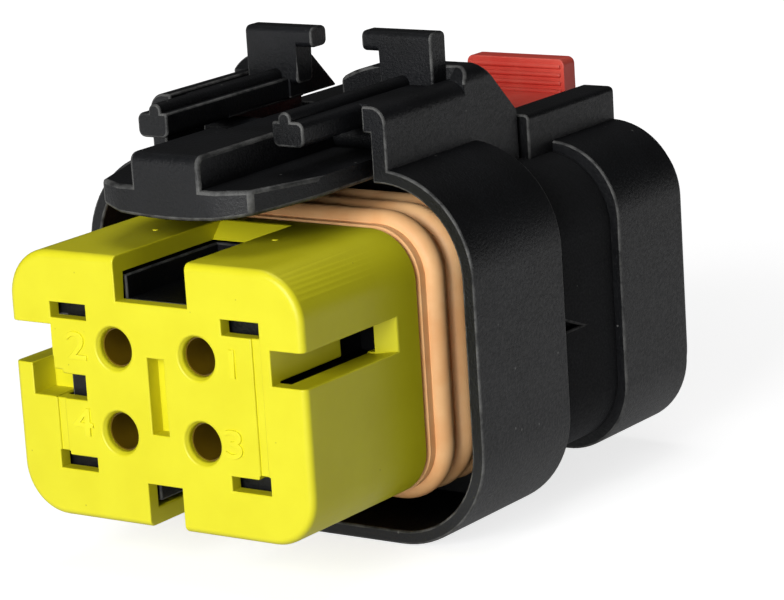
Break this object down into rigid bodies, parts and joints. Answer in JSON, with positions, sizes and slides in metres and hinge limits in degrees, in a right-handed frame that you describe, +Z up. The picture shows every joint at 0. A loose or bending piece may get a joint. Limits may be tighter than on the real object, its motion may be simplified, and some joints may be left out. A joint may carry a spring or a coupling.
{
  "type": "sealed automotive connector",
  "caption": "Sealed four-way plug: black shrouded housing with a rocking latch and clip rails, yellow wedge lock, ribbed seal and red position lock.",
  "frame": {"origin": "middle of the mating face, between the four cavities", "axes": "+X right as seen from the mating side, +Y back from the mating face towards the wires, +Z up towards the latch"},
  "size_m": [0.0286, 0.0407, 0.0295],
  "materials": {
    "housing_black": "fine moulded texture",
    "lock_yellow": "satin",
    "seal_peach": "soft silicone",
    "position_lock_red": "satin",
    "contact_metal": "tin plated"
  },
  "bodies": {
    "base": {"housing": "housing_black", "front_seal": "seal_peach", "wire_seal": "seal_peach", "rear_cap": "housing_black", "contact_1": "contact_metal", "contact_2": "contact_metal", "contact_3": "contact_metal", "contact_4": "contact_metal", "contact_hood_1": "contact_metal", "contact_hood_2": "contact_metal", "contact_hood_3": "contact_metal", "contact_hood_4": "contact_metal"},
    "lever": {"latch_lever": "housing_black"},
    "lock": {"wedge_lock": "lock_yellow"},
    "cpa": {"position_lock": "position_lock_red"}
  },
  "joints": [
    {"name": "latch_rock", "type": "hinge", "parent": "base", "child": "lever", "pos_m": [0, 0.016, 0.0124], "axis": [-1, 0, 0], "range_deg": [0, 5], "stiffness_Nm_per_rad": 0.02},
    {"name": "wedge_lock_slide", "type": "slide", "parent": "base", "child": "lock", "axis": [0, -1, 0], "range_m": [0, 0.0025]},
    {"name": "position_lock_slide", "type": "slide", "parent": "base", "child": "cpa", "axis": [0, -1, 0], "range_m": [0, 0.004]}
  ]
}
